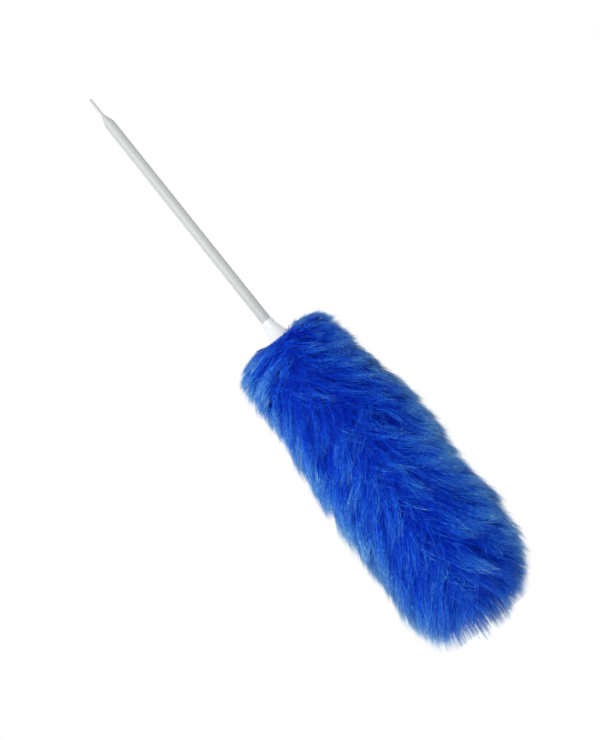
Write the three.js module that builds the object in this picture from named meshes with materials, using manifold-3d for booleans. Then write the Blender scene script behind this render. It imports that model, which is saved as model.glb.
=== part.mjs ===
// Lambswool duster in millimetres, hanging by the pressed tab of its handle.
// +Z is up, the handle runs along Z, and the origin is the centre of the hang hole.
import * as THREE from "three";
import { mergeVertices } from "three/addons/utils/BufferGeometryUtils.js";
import Module from "manifold-3d";

// Handle tube, with its end pressed flat into a hang tab
const tubeDiameter = 11;
const tubeWall = 1.3;
const tubeLength = 307.5;
const tabLength = 18.5;
const tabWidth = 16.5;
const tabThickness = 2.8;
const tabCornerRadius = 5;
const shoulderLength = 14.5;
const hangHoleDiameter = 8;
const hangHoleFromTip = 9.5;
const boreEndWall = 4;

// Collar that takes the tube in its neck and covers the top of the head with its flare
const socketDepth = 18;
const rimWall = 0.7;
const rimEdge = 0.4;
const neckLength = 4;
const neckTaper = 0.1;
const stopThickness = 2.5;
const skirtDepth = 5.2;
const skirtDiameter = 29;
const skirtWall = 1.3;
const flarePower = 1.45;

// Wooden core with a turned-down spigot that pushes into the tube
const coreDiameter = 9;
const spigotLength = 50;
const spigotChamfer = 1.5;

// Strip of wool hide wound on the core, and the patch of it over the core's end
const hideThickness = 2;
const stripPitch = 40;
const seamGap = 1.5;
const stripEndMargin = 0.6;
const patchDiameter = 22;

// Tacks through both ends of the strip and through the patch
const tackHeadDiameter = 5;
const tackHeadHeight = 0.9;
const tackShankDiameter = 1.2;
const tackBite = 3;
const tackPoint = 1.6;
const tackFromStripEnd = 6;
const patchTackHeadDiameter = 7;
const patchTackBite = 12;

// Wool pile, by its main outline, with a shallow valley along the parting at its front and its back
const woolLength = 362.5;
const woolTopDiameter = 111;
const woolBodyDiameter = 135;
const woolTopRound = 36;
const woolTopPower = 2.6;
const woolTipRound = 67;
const woolTipPower = 2;
const woolSwellStart = 40;
const woolSwellEnd = 150;
const woolTipPile = 56;
const woolDrift = 13;
const woolDriftPower = 4;
const woolPartDepth = 7;
const woolPartTipDepth = 12;
const woolPartHalfAngle = 32;
const woolPartTurn = -6;
const woolPartWander = 7;
const woolPartWave = 115;
const collarShown = 16.5;

// Clearances between pieces that slide in each other, and between pieces that bear on each other
const slideGap = 0.2;
const seatGap = 0.3;

// Facets round the turned pieces, across each flat of the tab, round the wool, the tacks and the strip
const turnedFacets = 36;
const tabFlatFacets = 14;
const woolFacets = 32;
const tackFacets = 16;
const stripFacetsPerTurn = 24;

const tubeRadius = tubeDiameter / 2;
const boreRadius = tubeRadius - tubeWall;
const socketRadius = tubeRadius + slideGap;
const rimRadius = socketRadius + rimWall;
const neckRadius = rimRadius + neckTaper;
const skirtRadius = skirtDiameter / 2;
const coreRadius = coreDiameter / 2;
const coreHoleRadius = coreRadius + slideGap;
const spigotRadius = boreRadius - slideGap;
const hideInnerRadius = coreRadius + seatGap;
const hideOuterRadius = hideInnerRadius + hideThickness;
const woolBoreRadius = hideOuterRadius + seatGap;
const patchRadius = patchDiameter / 2;

const tabTipZ = hangHoleFromTip;
const tubeEndZ = tabTipZ - tubeLength;
const rimZ = tubeEndZ + socketDepth;
const stopTopZ = tubeEndZ - seatGap;
const stopBottomZ = stopTopZ - stopThickness;
const skirtBottomZ = stopBottomZ - skirtDepth;
const woolTopZ = rimZ - collarShown;
const woolTipZ = woolTopZ - woolLength;
const coreEndZ = woolTipZ + woolTipPile;
const patchTopZ = coreEndZ - seatGap;
const patchBottomZ = patchTopZ - hideThickness;
const patchTackZ = patchBottomZ - seatGap;
const patchTackTopZ = coreEndZ + patchTackBite;
const stripTopZ = stopBottomZ - seatGap;
const stripWidth = stripPitch - seamGap;
const stripDrop = stripTopZ - (coreEndZ + stripEndMargin) - stripWidth;
const stripAngle = (2 * Math.PI * stripDrop) / stripPitch;

const { clamp, degToRad, lerp, smoothstep } = THREE.MathUtils;
const wasm = await Module();
wasm.setup();

// Joins the vertices that share a place and drops the triangles that this collapses
function weld(geometry) {
  geometry.deleteAttribute("normal");
  geometry.deleteAttribute("uv");
  const joined = mergeVertices(geometry, 1e-4);
  const corners = [];
  for (let i = 0; i < joined.index.count; i += 3) {
    const [a, b, c] = [0, 1, 2].map((k) => joined.index.getX(i + k));
    if (a !== b && b !== c && c !== a) corners.push(a, b, c);
  }
  joined.setIndex(corners);
  return joined;
}

// Moves each vertex to where the given function sends it
function reshape(geometry, place) {
  const position = geometry.getAttribute("position");
  const point = new THREE.Vector3();
  for (let i = 0; i < position.count; i++) {
    point.fromBufferAttribute(position, i);
    place(point);
    position.setXYZ(i, point.x, point.y, point.z);
  }
  return geometry;
}

// Turns a profile of [radius, height] points round the Z axis
function turned(profile, facets = turnedFacets) {
  const points = profile.map(([radius, height]) => new THREE.Vector2(radius, height));
  return weld(new THREE.LatheGeometry(points, facets).rotateX(Math.PI / 2));
}

// Cuts away every cutter geometry from the body geometry
function cut(body, cutters) {
  const solid = (geometry) =>
    new wasm.Manifold(
      new wasm.Mesh({
        numProp: 3,
        vertProperties: new Float32Array(geometry.getAttribute("position").array),
        triVerts: new Uint32Array(geometry.index.array),
      }),
    );
  const left = cutters.reduce((rest, cutter) => rest.subtract(solid(cutter)), solid(body)).getMesh();
  const geometry = new THREE.BufferGeometry();
  geometry.setAttribute("position", new THREE.BufferAttribute(left.vertProperties, 3));
  geometry.setIndex(new THREE.BufferAttribute(left.triVerts, 1));
  return geometry;
}

// Values from start to end in equal steps, both ends included
function steps(start, end, count) {
  return Array.from({ length: count + 1 }, (_, i) => lerp(start, end, i / count));
}

const handlePlastic = { color: 0xdadfdd, roughness: 0.42, metalness: 0 };
const collarPlastic = { color: 0xf5f8f9, roughness: 0.28, metalness: 0 };
const coreWood = { color: 0xd9bb8c, roughness: 0.7, metalness: 0 };
const woolHide = { color: 0x9fb0d2, roughness: 0.85, metalness: 0 };
const blueWool = { color: 0x1245b8, roughness: 0.95, metalness: 0 };
const tackSteel = { color: 0xb9bbbe, roughness: 0.35, metalness: 1 };

const duster = new THREE.Group();

function addPiece(name, geometry, finish) {
  const piece = new THREE.Mesh(geometry, new THREE.MeshStandardMaterial(finish));
  piece.name = name;
  duster.add(piece);
  return piece;
}

// Half-width of the pressed tab at a distance from its tip, with rounded corners
function tabHalfWidth(fromTip) {
  const inCorner = tabCornerRadius - clamp(fromTip, 0, tabCornerRadius);
  return tabWidth / 2 - tabCornerRadius + Math.sqrt(tabCornerRadius ** 2 - inCorner ** 2);
}

// Presses the round tube flat: each round section blends into a slot shape, flat across X
function pressTab(point) {
  const fromTip = tabTipZ - point.z;
  const pressed = 1 - smoothstep(fromTip, tabLength, tabLength + shoulderLength);
  const share = Math.hypot(point.x, point.y) / tubeRadius;
  const angle = Math.abs(Math.atan2(point.y, Math.abs(point.x)));
  const flatAngle = (Math.PI * tabFlatFacets) / turnedFacets;
  const halfThickness = tabThickness / 2;
  const flatHalf = tabHalfWidth(fromTip) - halfThickness;
  const roundAngle = (Math.max(angle - flatAngle, 0) / (Math.PI / 2 - flatAngle)) * (Math.PI / 2);
  const slotX = halfThickness * Math.cos(roundAngle);
  const slotY = flatHalf * Math.min(angle / flatAngle, 1) + halfThickness * Math.sin(roundAngle);
  const sideX = Math.abs(point.x) < 1e-6 ? 0 : Math.sign(point.x);
  const sideY = Math.abs(point.y) < 1e-6 ? 0 : Math.sign(point.y);
  point.x = lerp(point.x, sideX * share * slotX, pressed);
  point.y = lerp(point.y, sideY * share * slotY, pressed);
}

function makeHandleTube() {
  const cornerSteps = steps(0, 1, 5).map((t) => tabCornerRadius * (1 - Math.cos((t * Math.PI) / 2)));
  const shoulderSteps = steps(tabLength, tabLength + shoulderLength, 8);
  const boreTopZ = tabTipZ - tabLength - shoulderLength - boreEndWall;
  const tube = turned([
    [0, boreTopZ],
    [boreRadius, boreTopZ],
    [boreRadius, tubeEndZ],
    [tubeRadius, tubeEndZ],
    ...[...cornerSteps, ...shoulderSteps].reverse().map((fromTip) => [tubeRadius, tabTipZ - fromTip]),
    [0, tabTipZ],
  ]);
  const hole = new THREE.CylinderGeometry(
    hangHoleDiameter / 2, hangHoleDiameter / 2, 3 * tabThickness, turnedFacets,
  );
  hole.rotateZ(Math.PI / 2);
  return cut(reshape(tube, pressTab), [weld(hole)]);
}

// Outer radius of the collar's flare at a height
function flareRadius(z) {
  const along = clamp((rimZ - neckLength - z) / (rimZ - neckLength - skirtBottomZ), 0, 1);
  return lerp(neckRadius, skirtRadius, along ** flarePower);
}

function makeCollar() {
  const outside = steps(rimZ - neckLength, skirtBottomZ, 9).map((z) => [flareRadius(z), z]);
  const inside = steps(skirtBottomZ, stopBottomZ, 2).map((z) => [flareRadius(z) - skirtWall, z]);
  return turned([
    [socketRadius, rimZ],
    [socketRadius, stopTopZ],
    [coreHoleRadius, stopTopZ],
    [coreHoleRadius, stopBottomZ],
    ...inside.reverse(),
    ...outside.reverse(),
    [rimRadius, rimZ - rimEdge],
    [rimRadius - rimEdge, rimZ],
    [socketRadius, rimZ],
  ]);
}

// Places a geometry made along Z, pointing out of the hide, at a strip tack's angle and height
function alongTack(geometry, tack) {
  geometry.rotateY(Math.PI / 2);
  geometry.translate(hideOuterRadius + seatGap, 0, 0);
  geometry.rotateZ(tack.angle);
  return geometry.translate(0, 0, tack.z);
}

// A tack along Z: its head sits on the plane at 0 and its point reaches down to -length
function tackBody(headDiameter, length) {
  return turned(
    [
      [0, -length],
      [tackShankDiameter / 2, tackPoint - length],
      [tackShankDiameter / 2, 0],
      [headDiameter / 2, 0],
      [headDiameter / 2, tackHeadHeight / 3],
      [headDiameter / 3, tackHeadHeight * 0.8],
      [0, tackHeadHeight],
    ],
    tackFacets,
  );
}

// A plain round cutter along Z between two heights
function drill(radius, bottom, top) {
  return turned([[0, bottom], [radius, bottom], [radius, top], [0, top]], tackFacets);
}

const stripTackLength = 2 * seatGap + hideThickness + tackBite;
const tackHoleRadius = tackShankDiameter / 2 + seatGap;
const tackInset = tackFromStripEnd / hideOuterRadius;
const stripTacks = [
  { name: "strip_tack_top", angle: tackInset },
  { name: "strip_tack_bottom", angle: stripAngle - tackInset },
].map((tack) => ({
  ...tack,
  z: stripTopZ - stripWidth / 2 - (stripPitch * tack.angle) / (2 * Math.PI),
}));

function tackHoles() {
  return stripTacks.map((tack) =>
    alongTack(drill(tackHoleRadius, -stripTackLength - seatGap, tackHeadHeight), tack),
  );
}

function makeCore() {
  const spigotTopZ = tubeEndZ + spigotLength;
  const core = turned([
    [0, patchTackTopZ + seatGap],
    [tackHoleRadius, patchTackTopZ + seatGap],
    [tackHoleRadius, coreEndZ],
    [coreRadius, coreEndZ],
    [coreRadius, stopTopZ],
    [spigotRadius, stopTopZ],
    [spigotRadius, spigotTopZ - spigotChamfer],
    [spigotRadius - spigotChamfer, spigotTopZ],
    [0, spigotTopZ],
  ]);
  return cut(core, tackHoles());
}

// Winds a flat strip down the core: its length goes round the core and its thickness outwards
function makeHideStrip() {
  const facets = Math.ceil((stripFacetsPerTurn * stripAngle) / (2 * Math.PI));
  const strip = new THREE.BoxGeometry(1, 1, 1, facets, 1, 1).translate(0.5, 0, 0.5);
  reshape(strip, (point) => {
    const angle = stripAngle * point.x;
    const radius = hideInnerRadius + hideThickness * point.z;
    const z = stripTopZ - stripWidth / 2 - stripDrop * point.x + stripWidth * point.y;
    point.set(radius * Math.cos(angle), radius * Math.sin(angle), z);
  });
  return cut(weld(strip), tackHoles());
}

function makeTipPatch() {
  return turned([
    [tackHoleRadius, patchBottomZ],
    [patchRadius, patchBottomZ],
    [patchRadius, patchTopZ],
    [tackHoleRadius, patchTopZ],
    [tackHoleRadius, patchBottomZ],
  ]);
}

// Radius of the wool's outline at a distance below its top: a swelling body rounded off at both ends
function woolRadius(fromTop) {
  const swell = smoothstep(fromTop, woolSwellStart, woolSwellEnd);
  const body = lerp(woolTopDiameter, woolBodyDiameter, swell) / 2;
  const topEdge = clamp(1 - fromTop / woolTopRound, 0, 1);
  const tipEdge = clamp(1 - (woolLength - fromTop) / woolTipRound, 0, 1);
  const topRound = (1 - topEdge ** woolTopPower) ** (1 / woolTopPower);
  const tipRound = (1 - tipEdge ** woolTipPower) ** (1 / woolTipPower);
  return body * topRound * tipRound;
}

const splitFromTop = woolLength - woolTipPile;
const headPocketZ = patchTackZ - tackHeadHeight - seatGap;

// How freely the wool at a point gives way: not at all near the core, fully at its outside and below the patch
function woolFreedom(point) {
  const stillRadius = 2 * patchRadius;
  const outwards = (Math.hypot(point.x, point.y) - stillRadius) / (woolTopDiameter / 2 - stillRadius);
  const below = (headPocketZ - tackHeadDiameter - point.z) / patchRadius;
  return clamp(Math.max(outwards, below), 0, 1);
}

// The pile parts along a wavering line at its front and back, and hangs a little to one side at its tip
function combWool(point) {
  const fromTop = clamp(woolTopZ - point.z, 0, woolLength);
  const freedom = woolFreedom(point);
  const line = woolPartTurn + woolPartWander * Math.sin((2 * Math.PI * fromTop) / woolPartWave);
  const aside = Math.atan2(point.y, point.x) - Math.PI / 2 - degToRad(line);
  const fromPart = Math.abs(aside - Math.PI * Math.round(aside / Math.PI)) / degToRad(woolPartHalfAngle);
  const valley = Math.cos((Math.min(fromPart, 1) * Math.PI) / 2) ** 2;
  const nearTip = smoothstep(fromTop, woolLength - 2 * woolTipRound, splitFromTop);
  const depth = lerp(woolPartDepth, woolPartTipDepth, nearTip) / (woolBodyDiameter / 2);
  const share = 1 - depth * valley * freedom;
  point.x = point.x * share - woolDrift * (fromTop / woolLength) ** woolDriftPower * freedom;
  point.y *= share;
}

function makeFleece() {
  const rounded = [0.02, 0.08, 0.2, 0.4, 0.65, 1].map((share) => share * woolTopRound);
  const swelling = steps(woolSwellStart, woolSwellEnd, 6);
  const hanging = steps(woolSwellEnd, splitFromTop, 8).slice(1);
  const outside = [...rounded, ...swelling, ...hanging].map((fromTop) => [woolRadius(fromTop), woolTopZ - fromTop]);
  const overCollar = steps(woolTopZ, skirtBottomZ, 3).map((z) => [flareRadius(z) + seatGap, z]);
  const fleece = turned(
    [
      ...overCollar,
      [skirtRadius + seatGap, skirtBottomZ - seatGap],
      [woolBoreRadius, skirtBottomZ - seatGap],
      [woolBoreRadius, coreEndZ],
      [patchRadius + seatGap, coreEndZ],
      ...outside.reverse(),
      [flareRadius(woolTopZ) + seatGap, woolTopZ],
    ],
    woolFacets,
  );
  const pockets = stripTacks.map((tack) =>
    alongTack(drill(tackHeadDiameter / 2 + seatGap, -2 * seatGap, tackHeadHeight + seatGap), tack),
  );
  return cut(reshape(fleece, combWool), pockets);
}

function makeTipFleece() {
  const outside = steps(0, 1, 7).map((t) => {
    const fromTop = lerp(splitFromTop, woolLength, Math.sin((t * Math.PI) / 2));
    return [woolRadius(fromTop), woolTopZ - fromTop - seatGap * (1 - t)];
  });
  const headPocketRadius = patchTackHeadDiameter / 2 + seatGap;
  const tip = turned(
    [
      [0, woolTipZ],
      ...outside.slice(0, -1).reverse(),
      [patchRadius + seatGap, coreEndZ - seatGap],
      [patchRadius + seatGap, patchBottomZ - seatGap],
      [headPocketRadius, patchBottomZ - seatGap],
      [headPocketRadius, headPocketZ],
      [0, headPocketZ],
    ],
    woolFacets,
  );
  return reshape(tip, combWool);
}

addPiece("handle_tube", makeHandleTube(), handlePlastic);
addPiece("collar", makeCollar(), collarPlastic);
addPiece("core_dowel", makeCore(), coreWood);
addPiece("hide_strip", makeHideStrip(), woolHide);
addPiece("tip_patch", makeTipPatch(), woolHide);
addPiece("fleece", makeFleece(), blueWool);
addPiece("tip_fleece", makeTipFleece(), blueWool);
for (const tack of stripTacks) {
  addPiece(tack.name, alongTack(tackBody(tackHeadDiameter, stripTackLength), tack), tackSteel);
}
const patchTackLength = patchTackTopZ - patchTackZ;
const patchTack = addPiece("patch_tack", tackBody(patchTackHeadDiameter, patchTackLength), tackSteel);
patchTack.position.z = patchTackZ;
patchTack.rotation.x = Math.PI;

export default duster;
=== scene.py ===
import math

import bpy
import numpy as np
from mathutils import Matrix, Vector


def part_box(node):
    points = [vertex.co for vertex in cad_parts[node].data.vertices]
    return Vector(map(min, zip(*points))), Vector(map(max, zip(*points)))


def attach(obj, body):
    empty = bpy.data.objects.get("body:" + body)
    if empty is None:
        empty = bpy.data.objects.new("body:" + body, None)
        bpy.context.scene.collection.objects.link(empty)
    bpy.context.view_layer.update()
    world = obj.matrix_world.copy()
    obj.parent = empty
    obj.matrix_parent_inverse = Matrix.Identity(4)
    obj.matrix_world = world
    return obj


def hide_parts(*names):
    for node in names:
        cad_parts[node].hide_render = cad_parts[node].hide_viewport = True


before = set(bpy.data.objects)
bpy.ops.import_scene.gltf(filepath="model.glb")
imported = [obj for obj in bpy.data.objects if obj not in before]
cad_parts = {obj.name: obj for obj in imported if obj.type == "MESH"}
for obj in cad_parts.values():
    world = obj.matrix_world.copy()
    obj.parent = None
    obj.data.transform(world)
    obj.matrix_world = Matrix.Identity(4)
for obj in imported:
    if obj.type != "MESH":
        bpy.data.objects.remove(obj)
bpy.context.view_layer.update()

mm = 0.001
tiny = 1e-9
scene = bpy.context.scene
scene.view_settings.view_transform = "Standard"

tubeLow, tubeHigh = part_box("handle_tube")
collarLow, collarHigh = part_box("collar")
coreLow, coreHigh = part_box("core_dowel")
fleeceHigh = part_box("fleece")[1]
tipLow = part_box("tip_fleece")[0]
patchLow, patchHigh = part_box("tip_patch")
stripLow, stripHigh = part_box("hide_strip")


# Camera: square to the tab's flat, the tab end leaning away, rolled so that the head points down right
view = dict(
    imageSize=(600, 740), tabPixel=(91.1, 100.5), tipPixel=(507.8, 623.9),
    lean=6.0, distance=1.5, sensorHeight=24.0, farClip=50, tries=20001,
)


def makeCamera():
    # the axis is drawn between the two pixels; its middle distance fixes the focal length
    width, height = view["imageSize"]
    start = np.array(view["tabPixel"])
    end = np.array(view["tipPixel"])
    centre = np.array((width / 2, height / 2))
    along = (end - start) / np.linalg.norm(end - start)
    across = np.array((along[1], -along[0]))
    lean = math.radians(view["lean"])
    distance = view["distance"]
    tabEnd, tipEnd = tubeHigh.z, tipLow.z
    fromTab = (centre - start) @ along
    toTip = (end - centre) @ along
    # the height that lies at the image centre, so that both ends land on their pixels
    heights = np.linspace(tipEnd, tabEnd, view["tries"])
    upper, lower = tabEnd - heights, heights - tipEnd
    focalUp = fromTab * (distance + upper * math.sin(lean)) / np.maximum(upper * math.cos(lean), tiny)
    focalDown = toTip * (distance - lower * math.sin(lean)) / np.maximum(lower * math.cos(lean), tiny)
    best = np.argmin(np.abs(focalUp - focalDown))
    focal = focalUp[best]
    aside = ((centre - start) @ across) * distance / focal
    target = Vector((aside, 0, heights[best]))
    forward = Vector((0, math.cos(lean), math.sin(lean)))
    upright = Vector((0, -math.sin(lean), math.cos(lean)))
    side = Vector((1, 0, 0))
    right = side * along[1] - upright * along[0]
    up = side * along[0] + upright * along[1]
    camera = bpy.data.objects.new("camera", bpy.data.cameras.new("camera"))
    camera.data.sensor_fit = "VERTICAL"
    camera.data.sensor_height = view["sensorHeight"]
    camera.data.lens = focal * view["sensorHeight"] / height
    camera.data.clip_end = view["farClip"]
    turn = Matrix((right, up, -forward)).transposed().to_4x4()
    camera.matrix_world = Matrix.Translation(target - forward * distance) @ turn
    scene.collection.objects.link(camera)
    scene.camera = camera
    print("camera: lens %.2f mm, centre height %.4f m" % (camera.data.lens, heights[best]))


makeCamera()


# Mesh helpers
def gridQuads(rows, cols, wrapRows=False, wrapCols=True):
    # corner numbers of the quads of a rows by cols grid, closed on itself where wrapped
    i = np.arange(rows if wrapRows else rows - 1)[:, None]
    j = np.arange(cols if wrapCols else cols - 1)[None, :]
    nextRow = (i + 1) % rows * cols
    nextCol = (j + 1) % cols
    return np.stack((i * cols + j, i * cols + nextCol, nextRow + nextCol, nextRow + j), -1).reshape(-1, 4)


def newObject(name, points, corners, counts, material, sharpAngle=None):
    # points into vertices, corners and counts into faces, all as whole arrays
    mesh = bpy.data.meshes.new(name)
    mesh.vertices.add(len(points))
    mesh.vertices.foreach_set("co", np.ascontiguousarray(points, np.float32).ravel())
    mesh.loops.add(len(corners))
    mesh.loops.foreach_set("vertex_index", np.ascontiguousarray(corners, np.int32))
    mesh.polygons.add(len(counts))
    starts = np.concatenate(([0], np.cumsum(counts)[:-1]))
    mesh.polygons.foreach_set("loop_start", starts.astype(np.int32))
    mesh.polygons.foreach_set("use_smooth", np.ones(len(counts), bool))
    mesh.update(calc_edges=True)
    if sharpAngle is not None:
        mesh.set_sharp_from_angle(angle=math.radians(sharpAngle))
    mesh.materials.append(material)
    piece = bpy.data.objects.new(name, mesh)
    scene.collection.objects.link(piece)
    return piece


def turnedArrays(profile, around, closed=False):
    # (r, z) carried round Z: x = r cos a, y = r sin a; a first or last r of 0 becomes one pole point
    profile = np.asarray(profile, float)
    poleStart = not closed and profile[0, 0] < tiny
    poleEnd = not closed and profile[-1, 0] < tiny
    rings = profile[int(poleStart): len(profile) - int(poleEnd)]
    angle = np.arange(around) * (2 * np.pi / around)
    r, z = rings[:, :1], rings[:, 1:]
    points = np.stack((r * np.cos(angle), r * np.sin(angle), z + 0 * angle), -1).reshape(-1, 3)
    quads = gridQuads(len(rings), around, wrapRows=closed)
    corners, counts = [quads.ravel()], [np.full(len(quads), 4)]
    j = np.arange(around)
    k = (j + 1) % around
    if poleStart:
        fan = np.stack((k, j, np.full(around, len(points))), -1)
        points = np.vstack((points, (0, 0, profile[0, 1])))
        corners.append(fan.ravel())
        counts.append(np.full(around, 3))
    if poleEnd:
        last = (len(rings) - 1) * around
        fan = np.stack((last + j, last + k, np.full(around, len(points))), -1)
        points = np.vstack((points, (0, 0, profile[-1, 1])))
        corners.append(fan.ravel())
        counts.append(np.full(around, 3))
    return points, np.concatenate(corners), np.concatenate(counts)


def softCorners(points, radius, steps=4, closed=False, share=0.45):
    # each corner becomes a curve (1-t)^2 a + 2t(1-t) corner + t^2 b, a and b a radius away on its sides
    points = np.asarray(points, float)
    t = np.linspace(0, 1, steps + 1)[:, None]
    out = [] if closed else [points[:1]]
    for i in range(0 if closed else 1, len(points) if closed else len(points) - 1):
        corner, before, after = points[i], points[i - 1], points[(i + 1) % len(points)]
        reachIn = min(radius, share * np.linalg.norm(before - corner))
        reachOut = min(radius, share * np.linalg.norm(after - corner))
        a = corner + (before - corner) / np.linalg.norm(before - corner) * reachIn
        b = corner + (after - corner) / np.linalg.norm(after - corner) * reachOut
        out.append((1 - t) ** 2 * a + 2 * t * (1 - t) * corner + t ** 2 * b)
    if not closed:
        out.append(points[-1:])
    return np.vstack(out)


def smoothStep(x, low, high):
    t = np.clip((x - low) / (high - low), 0, 1)
    return t * t * (3 - 2 * t)


# Materials
def newMaterial(name):
    material = bpy.data.materials.new(name)
    material.use_nodes = True
    nodes = material.node_tree.nodes
    return material, nodes, nodes["Principled BSDF"]


def setInputs(node, values):
    for key, value in values.items():
        node.inputs[key].default_value = value


def join(source, target):
    target.node.id_data.links.new(source, target)


def addNode(nodes, kind, values=None, **settings):
    node = nodes.new(kind)
    for key, value in settings.items():
        setattr(node, key, value)
    setInputs(node, values or {})
    return node


def setRamp(node, stops):
    ramp = node.color_ramp
    while len(ramp.elements) < len(stops):
        ramp.elements.new(0.5)
    for element, (place, colour) in zip(ramp.elements, stops):
        element.position = place
        element.color = (*colour, 1)


def addRange(nodes, source, low, high, toLow=0.0, toHigh=1.0):
    node = addNode(nodes, "ShaderNodeMapRange", {
        "From Min": low, "From Max": high, "To Min": toLow, "To Max": toHigh})
    join(source, node.inputs["Value"])
    return node.outputs["Result"]


def addRamp(nodes, source, stops):
    node = nodes.new("ShaderNodeValToRGB")
    setRamp(node, stops)
    join(source, node.inputs["Fac"])
    return node.outputs["Color"]


def addNoise(nodes, vector, scale, detail, roughness, distortion=0.0, **settings):
    node = addNode(nodes, "ShaderNodeTexNoise", {
        "Scale": scale, "Detail": detail, "Roughness": roughness, "Distortion": distortion}, **settings)
    join(vector, node.inputs["Vector"])
    return node.outputs["Fac"]


def addStretch(nodes, vector, scale):
    node = addNode(nodes, "ShaderNodeMapping", {"Scale": scale})
    join(vector, node.inputs["Vector"])
    return node.outputs["Vector"]


def addBump(nodes, height, look, shader):
    bump = addNode(nodes, "ShaderNodeBump", {"Strength": look["bump"], "Distance": look["bumpDepth"]})
    join(height, bump.inputs["Height"])
    join(bump.outputs["Normal"], shader.inputs["Normal"])
    return bump


# Wear of the hard pieces: cloudy tint, fine speckle, and scuffs drawn out along Z
wear = dict(
    cloudScale=34, cloudRange=(0.38, 0.68), scuffStretch=(900, 900, 26), scuffRange=(0.5, 0.78),
    speckleScale=1400, roughGain=0.35, scuffHeight=0.5,
)


def makeSurfaceLife():
    # one mask for each kind of wear, from Object coordinates
    group = bpy.data.node_groups.new("surfaceLife", "ShaderNodeTree")
    for name, way, kind in (
            ("Base", "INPUT", "Color"), ("Tint", "INPUT", "Color"), ("Cloud", "INPUT", "Float"),
            ("Scuff", "INPUT", "Float"), ("Smooth", "INPUT", "Float"), ("Color", "OUTPUT", "Color"),
            ("Roughness", "OUTPUT", "Float"), ("Height", "OUTPUT", "Float")):
        group.interface.new_socket(name, in_out=way, socket_type="NodeSocket" + kind)
    nodes = group.nodes
    given = nodes.new("NodeGroupInput")
    out = nodes.new("NodeGroupOutput")
    place = nodes.new("ShaderNodeTexCoord").outputs["Object"]
    cloud = addNoise(nodes, place, wear["cloudScale"], 4, 0.6)
    drawn = addStretch(nodes, place, wear["scuffStretch"])
    scuff = addNoise(nodes, drawn, 1, 3, 0.65)
    speckle = addNoise(nodes, place, wear["speckleScale"], 2, 0.5)
    share = addNode(nodes, "ShaderNodeMath", operation="ADD", use_clamp=True)
    masks = ((cloud, "Cloud", wear["cloudRange"]), (scuff, "Scuff", wear["scuffRange"]))
    for i, (texture, socket, span) in enumerate(masks):
        part = addNode(nodes, "ShaderNodeMath", operation="MULTIPLY")
        join(addRange(nodes, texture, *span), part.inputs[0])
        join(given.outputs[socket], part.inputs[1])
        join(part.outputs[0], share.inputs[i])
    tinted = addNode(nodes, "ShaderNodeMix", data_type="RGBA")
    join(share.outputs[0], tinted.inputs["Factor"])
    join(given.outputs["Base"], tinted.inputs["A"])
    join(given.outputs["Tint"], tinted.inputs["B"])
    join(tinted.outputs["Result"], out.inputs["Color"])
    rough = addNode(nodes, "ShaderNodeMath", {1: wear["roughGain"]}, operation="MULTIPLY_ADD")
    join(share.outputs[0], rough.inputs[0])
    join(given.outputs["Smooth"], rough.inputs[2])
    join(rough.outputs[0], out.inputs["Roughness"])
    height = addNode(nodes, "ShaderNodeMath", {1: wear["scuffHeight"]}, operation="MULTIPLY_ADD")
    join(scuff, height.inputs[0])
    join(speckle, height.inputs[2])
    join(height.outputs[0], out.inputs["Height"])
    return group


surfaceLife = makeSurfaceLife()


def hardFinish(name, look):
    material, nodes, shader = newMaterial(name)
    life = nodes.new("ShaderNodeGroup")
    life.node_tree = surfaceLife
    setInputs(life, {"Base": (*look["base"], 1), "Tint": (*look["tint"], 1), "Cloud": look["cloud"],
                     "Scuff": look["scuff"], "Smooth": look["smooth"]})
    join(life.outputs["Color"], shader.inputs["Base Color"])
    join(life.outputs["Roughness"], shader.inputs["Roughness"])
    addBump(nodes, life.outputs["Height"], look, shader)
    setInputs(shader, {"Metallic": look.get("metal", 0), "Specular IOR Level": look.get("gloss", 0.5)})
    return material


# Handle tube: a drawn tube pressed flat at its end, with the hang hole through the tab
handle = dict(
    radius=5.5 * mm, wall=1.3 * mm, tabLength=18.5 * mm, tabWidth=16.5 * mm, tabThickness=2.8 * mm,
    tabCorner=5 * mm, shoulder=14.5 * mm, boreEnd=4 * mm, holeRadius=4 * mm, holeEase=0.35 * mm,
    edge=0.35 * mm, footRun=5 * mm, shaftStart=12 * mm, tipFlat=0.45, flatAngle=70, sharp=38,
    around=108, holeAround=64, shaftRows=24, shoulderRows=34, tabRows=8, cornerRows=16, tipRows=7,
    look=dict(base=(0.515, 0.54, 0.532), tint=(0.46, 0.48, 0.455), cloud=0.08, scuff=0.04, smooth=0.42,
              bump=0.012, bumpDepth=0.0002, gloss=0.45),
)


def pressedTube(points):
    # round sections blend into a slot towards the tip: flats at x = +-half thickness, round ends
    fromTip = tubeHigh.z - points[:, 2]
    pressed = 1 - smoothStep(fromTip, handle["tabLength"], handle["tabLength"] + handle["shoulder"])
    share = np.hypot(points[:, 0], points[:, 1]) / handle["radius"]
    angle = np.arctan2(np.abs(points[:, 1]), np.abs(points[:, 0]))
    half = handle["tabThickness"] / 2
    corner = handle["tabCorner"]
    inCorner = corner - np.clip(fromTip, 0, corner)
    flat = handle["tabWidth"] / 2 - corner + np.sqrt(corner ** 2 - inCorner ** 2) - half
    flatAngle = np.radians(handle["flatAngle"])
    turn = np.clip(angle - flatAngle, 0, None) / (np.pi / 2 - flatAngle) * np.pi / 2
    slotX = np.sign(points[:, 0]) * share * half * np.cos(turn)
    slotX = np.where(np.abs(points[:, 0]) < tiny, 0, slotX)
    slotReach = flat * np.minimum(angle / flatAngle, 1) + half * np.sin(turn)
    slotY = np.sign(points[:, 1]) * share * slotReach
    out = points.copy()
    out[:, 0] += pressed * (slotX - points[:, 0])
    out[:, 1] += pressed * (slotY - points[:, 1])
    return out


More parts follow.
